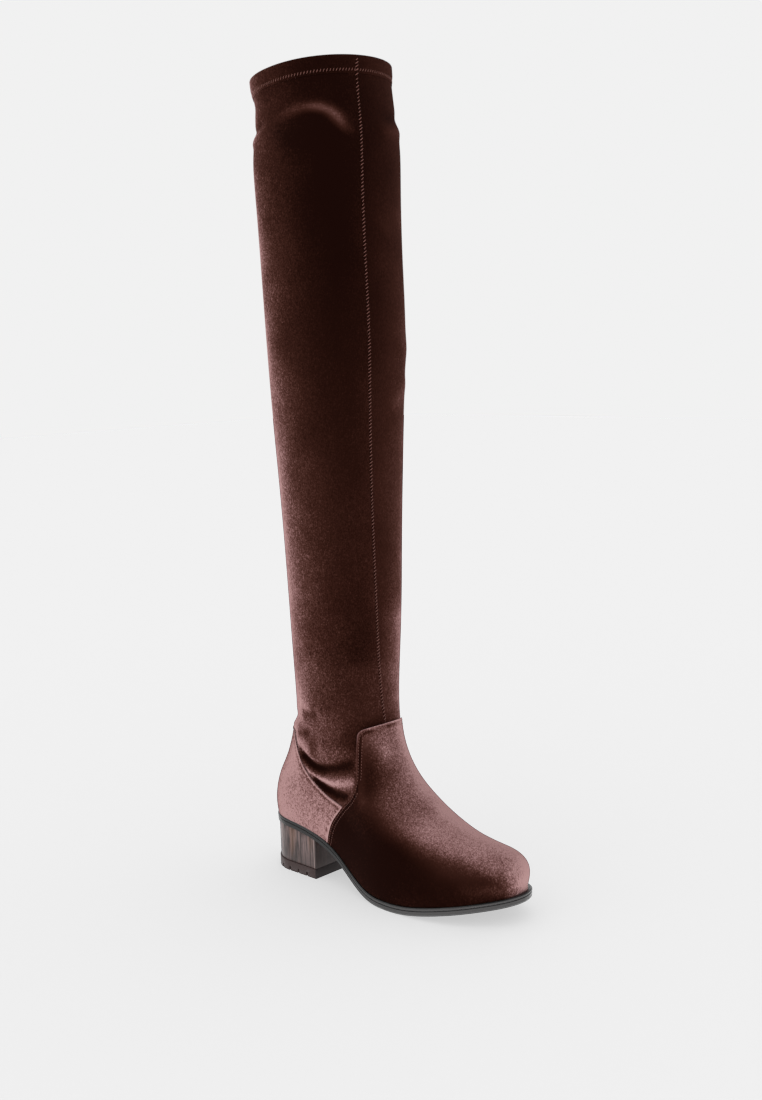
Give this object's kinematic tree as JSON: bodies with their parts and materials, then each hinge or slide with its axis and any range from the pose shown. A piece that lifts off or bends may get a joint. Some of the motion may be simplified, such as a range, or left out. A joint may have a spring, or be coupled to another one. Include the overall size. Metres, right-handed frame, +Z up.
{
  "type": "thigh high boot",
  "caption": "Right thigh high boot in dark brown velvet, with a tall fitted shaft, a raised front seam, a round toe, a thin black sole and a stacked block heel.",
  "frame": {"origin": "middle of the heel's footprint on the floor, on the underside of the heel lift", "axes": "+X towards the toe, +Y towards the inner side of the foot, +Z up the shaft"},
  "size_m": [0.2525, 0.115, 0.6602],
  "materials": {
    "velvet": "dark brown velvet with a mauve sheen and a short nap",
    "lining": "smooth dark brown lining cloth",
    "sole": "black, half-matt sole edge and tread",
    "heel_stack": "dark grey-brown stacked heel cover, half-gloss, with fine upright streaks",
    "lift": "mauve-brown top piece, half-matt"
  },
  "bodies": {
    "root": {"upper": "velvet", "vamp": "velvet", "counter": "velvet", "collar_hem": "velvet", "front_seam": "velvet", "outsole": "sole", "insole": "lining", "heel": "heel_stack", "heel_lift": "lift"}
  },
  "joints": []
}
